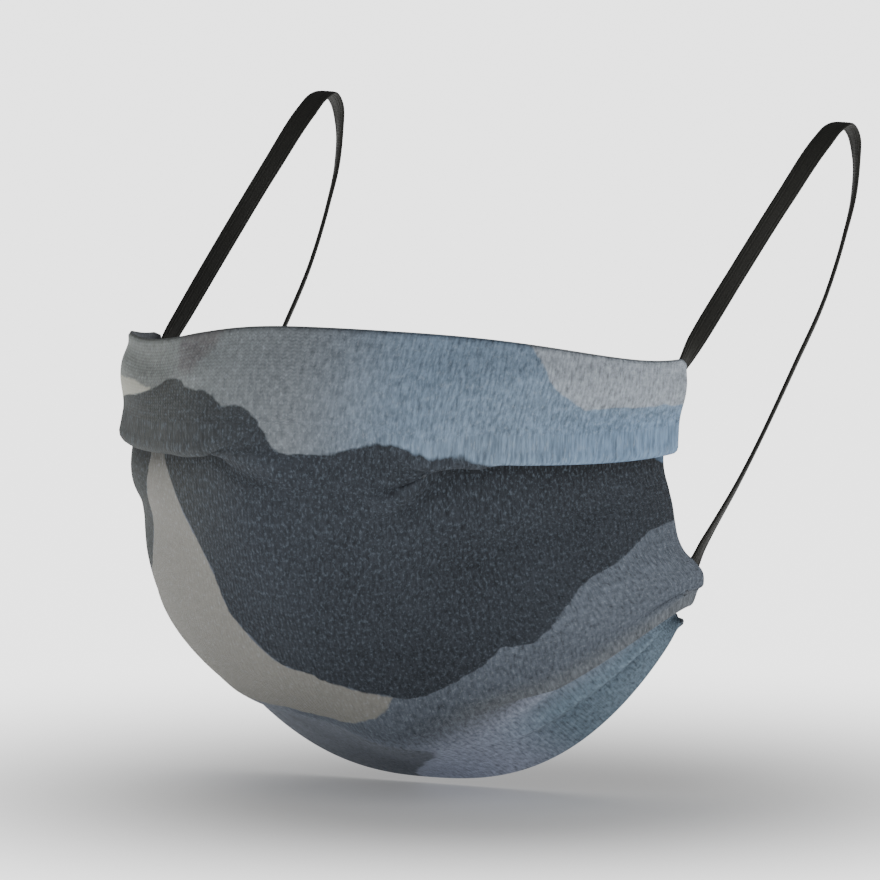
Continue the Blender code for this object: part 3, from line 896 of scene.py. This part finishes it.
def band_course(side):
    """Centre line of a band from seam to seam, its width direction, its own direction and the way along it.

    The line is a smooth curve through the seams' ends and the points of the loop's course, and the width
    turns about it by the course's own angles.
    """
    upper, upper_out = seam_points(side, UPPER_SEAM_DROP, UPPER_SEAM_SLANT)
    lower, lower_out = seam_points(side, HEM_HEIGHT - LOWER_SEAM_RISE, LOWER_SEAM_SLANT)
    free = upper[0] + np.outer(COURSE["fall"], lower[0] - upper[0])
    free[:, 0] += side * LOOP_SPREAD * COURSE["back"]
    free[:, 1] += COURSE["back"] * LOOP_REACH
    free[:, 2] += COURSE["rise"] * LOOP_RISE
    sideways = np.tile((side, 0.0, 0.0), (len(free), 1))
    centre = np.concatenate([upper[::-1], free, lower])
    facing = np.concatenate([upper_out[::-1], sideways, lower_out])
    turns = np.concatenate([[0.0, 0.0], COURSE["turn"] * math.radians(LOOP_TURN), [0.0, 0.0]])
    knots = walked(centre)
    where = np.linspace(0.0, knots[-1], int(knots[-1] / BAND_STEP))
    line = through(knots, centre, where)
    angle = through(knots, turns, where)[:, None]
    outwards = through(knots, facing, where)
    along = unit(np.gradient(line, where, axis=0))
    outwards = unit(outwards - (outwards * along).sum(1, keepdims=True) * along)
    edgewise = np.cross(outwards, along)
    width = edgewise * np.cos(angle) - outwards * np.sin(angle)
    return line, width, along, walked(line)


def superellipse(wave):
    """One coordinate of a band's section, from the sine or cosine of the angle round it."""
    return np.sign(wave) * np.abs(wave) ** (2 / BAND_EDGE_POWER)


def band_piece(name, side, finish):
    """A flat band: a superellipse with fine ribs on both faces, carried along its course, its ends closed."""
    line, width, along, where = band_course(side)
    thickness = np.cross(width, along)
    angle = np.arange(BAND_SIDES) / BAND_SIDES * 2 * math.pi
    wide = superellipse(np.cos(angle)) * BAND_WIDTH / 2
    rib = BAND_RIB_HEIGHT * np.cos(wide / BAND_WIDTH * 2 * math.pi * BAND_RIBS)
    deep = superellipse(np.sin(angle)) * (BAND_THICKNESS / 2 - BAND_RIB_HEIGHT + rib)
    rings = line[:, None] + wide[None, :, None] * width[:, None] + deep[None, :, None] * thickness[:, None]
    number = np.arange(len(line) * BAND_SIDES).reshape(-1, BAND_SIDES)
    closed = np.concatenate([number, number[:, :1]], axis=1)
    faces = quads_of(closed.T).tolist() + [number[0, ::-1].tolist(), number[-1].tolist()]
    thing = add_piece(name, rings.reshape(-1, 3), faces, finish)
    places = np.stack(np.broadcast_arrays(wide[None, :], where[:, None]), axis=-1)
    add_uv(thing, "band", places.reshape(-1, 2))
    return thing


# The view and the light
VIEW_AZIMUTH = 27.0
VIEW_ELEVATION = 7.5
VIEW_WIDTH = 0.2023        # of the picture, at the mask
VIEW_RIGHT = 0.0315        # of the origin to the picture's middle
VIEW_UP = -0.0214
LENS = 1400.0
SENSOR = 36.0
FLOOR_GAP = 0.0012
FLOOR_REACH = 40.0
FLOOR_COLOUR = (0.93, 0.93, 0.93, 1.0)
FLOOR_ROUGHNESS = 0.9
FLOOR_GLOSS = 0.1
GLOW = 2.6                 # the floor's own light away from the mask, which keeps the background pale
GLOW_REACH = (0.04, 0.24)  # from where to where it rises, measured from a place under the mask; the dim disc inside is a painted shadow
GLOW_LEAST = 0.06          # what is left of it there, which sets the tone of the painted shadow
GLOW_MIDDLE = (0.02, 0.05)
WORLD_LIGHT = 0.25
LIGHTS = {                 # place, size and power
    "key": ((0.25, -0.8, 0.8), 0.5, 0.9),
    "top": ((0.03, 0.10, 0.9), 0.8, 1.2),
}


def floor_finish(low):
    """Pale paint with a light of its own, which rises with the distance from a place under the mask: the
    dimmer floor round the mask is a painted shadow, with the lamps' real shadow in it.
    """
    make = Finish("pale_floor")
    place = make.node("ShaderNodeTexCoord", output="Object")
    away = make.node("ShaderNodeVectorMath", {"operation": "SUBTRACT"}, {0: place, 1: (*GLOW_MIDDLE, low)})
    distance = make.node("ShaderNodeVectorMath", {"operation": "LENGTH"}, {0: away}, "Value")
    make.fill(make.shader, {"Base Color": FLOOR_COLOUR, "Roughness": FLOOR_ROUGHNESS,
                            "Specular IOR Level": FLOOR_GLOSS, "Emission Strength": GLOW,
                            "Emission Color": make.step(distance, *GLOW_REACH, GLOW_LEAST)})
    return make.material


def floor_piece():
    """A pale floor just under the mask."""
    low = cad_box[0][2] - FLOOR_GAP
    corners = [(-FLOOR_REACH, -FLOOR_REACH, low), (FLOOR_REACH, -FLOOR_REACH, low),
               (FLOOR_REACH, FLOOR_REACH, low), (-FLOOR_REACH, FLOOR_REACH, low)]
    return add_piece("floor", corners, [(0, 1, 2, 3)], floor_finish(low))


def add_camera():
    """A camera with a long lens, turned round the mask by its azimuth and up by its elevation."""
    azimuth, elevation = math.radians(VIEW_AZIMUTH), math.radians(VIEW_ELEVATION)
    right = np.array([math.cos(azimuth), math.sin(azimuth), 0.0])
    back = np.array([math.sin(azimuth) * math.cos(elevation), -math.cos(azimuth) * math.cos(elevation),
                     math.sin(elevation)])
    up = np.cross(back, right)
    data = bpy.data.cameras.new("camera")
    data.lens = LENS
    data.sensor_width = SENSOR
    place = right * VIEW_RIGHT + up * VIEW_UP + back * (VIEW_WIDTH * LENS / SENSOR)
    bpy.context.scene.camera = add_thing("camera", data, place, (math.pi / 2 - elevation, 0.0, azimuth))


def add_lights():
    """Large soft lamps that face the origin, and an even white world."""
    for name, (place, size, power) in LIGHTS.items():
        lamp = bpy.data.lights.new(name, "AREA")
        lamp.size = size
        lamp.energy = power
        x, y, z = place
        turn = (math.atan2(math.hypot(x, y), z), 0.0, math.atan2(-y, -x) - math.pi / 2)
        add_thing(name, lamp, place, turn)
    world = bpy.data.worlds.new("studio")
    world.use_nodes = True
    background = world.node_tree.nodes["Background"]
    background.inputs["Color"].default_value = (1.0, 1.0, 1.0, 1.0)
    background.inputs["Strength"].default_value = WORLD_LIGHT
    bpy.context.scene.world = world


cloth = cloth_piece()
elastic = elastic_finish()
loops = {"left": band_piece("left_elastic", -1, elastic), "right": band_piece("right_elastic", 1, elastic)}

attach(cloth, "root")
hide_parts("mask_cloth")
for side, loop in loops.items():
    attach(loop, "root")
    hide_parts("ear_loop_" + side)
floor = floor_piece()
add_camera()
add_lights()
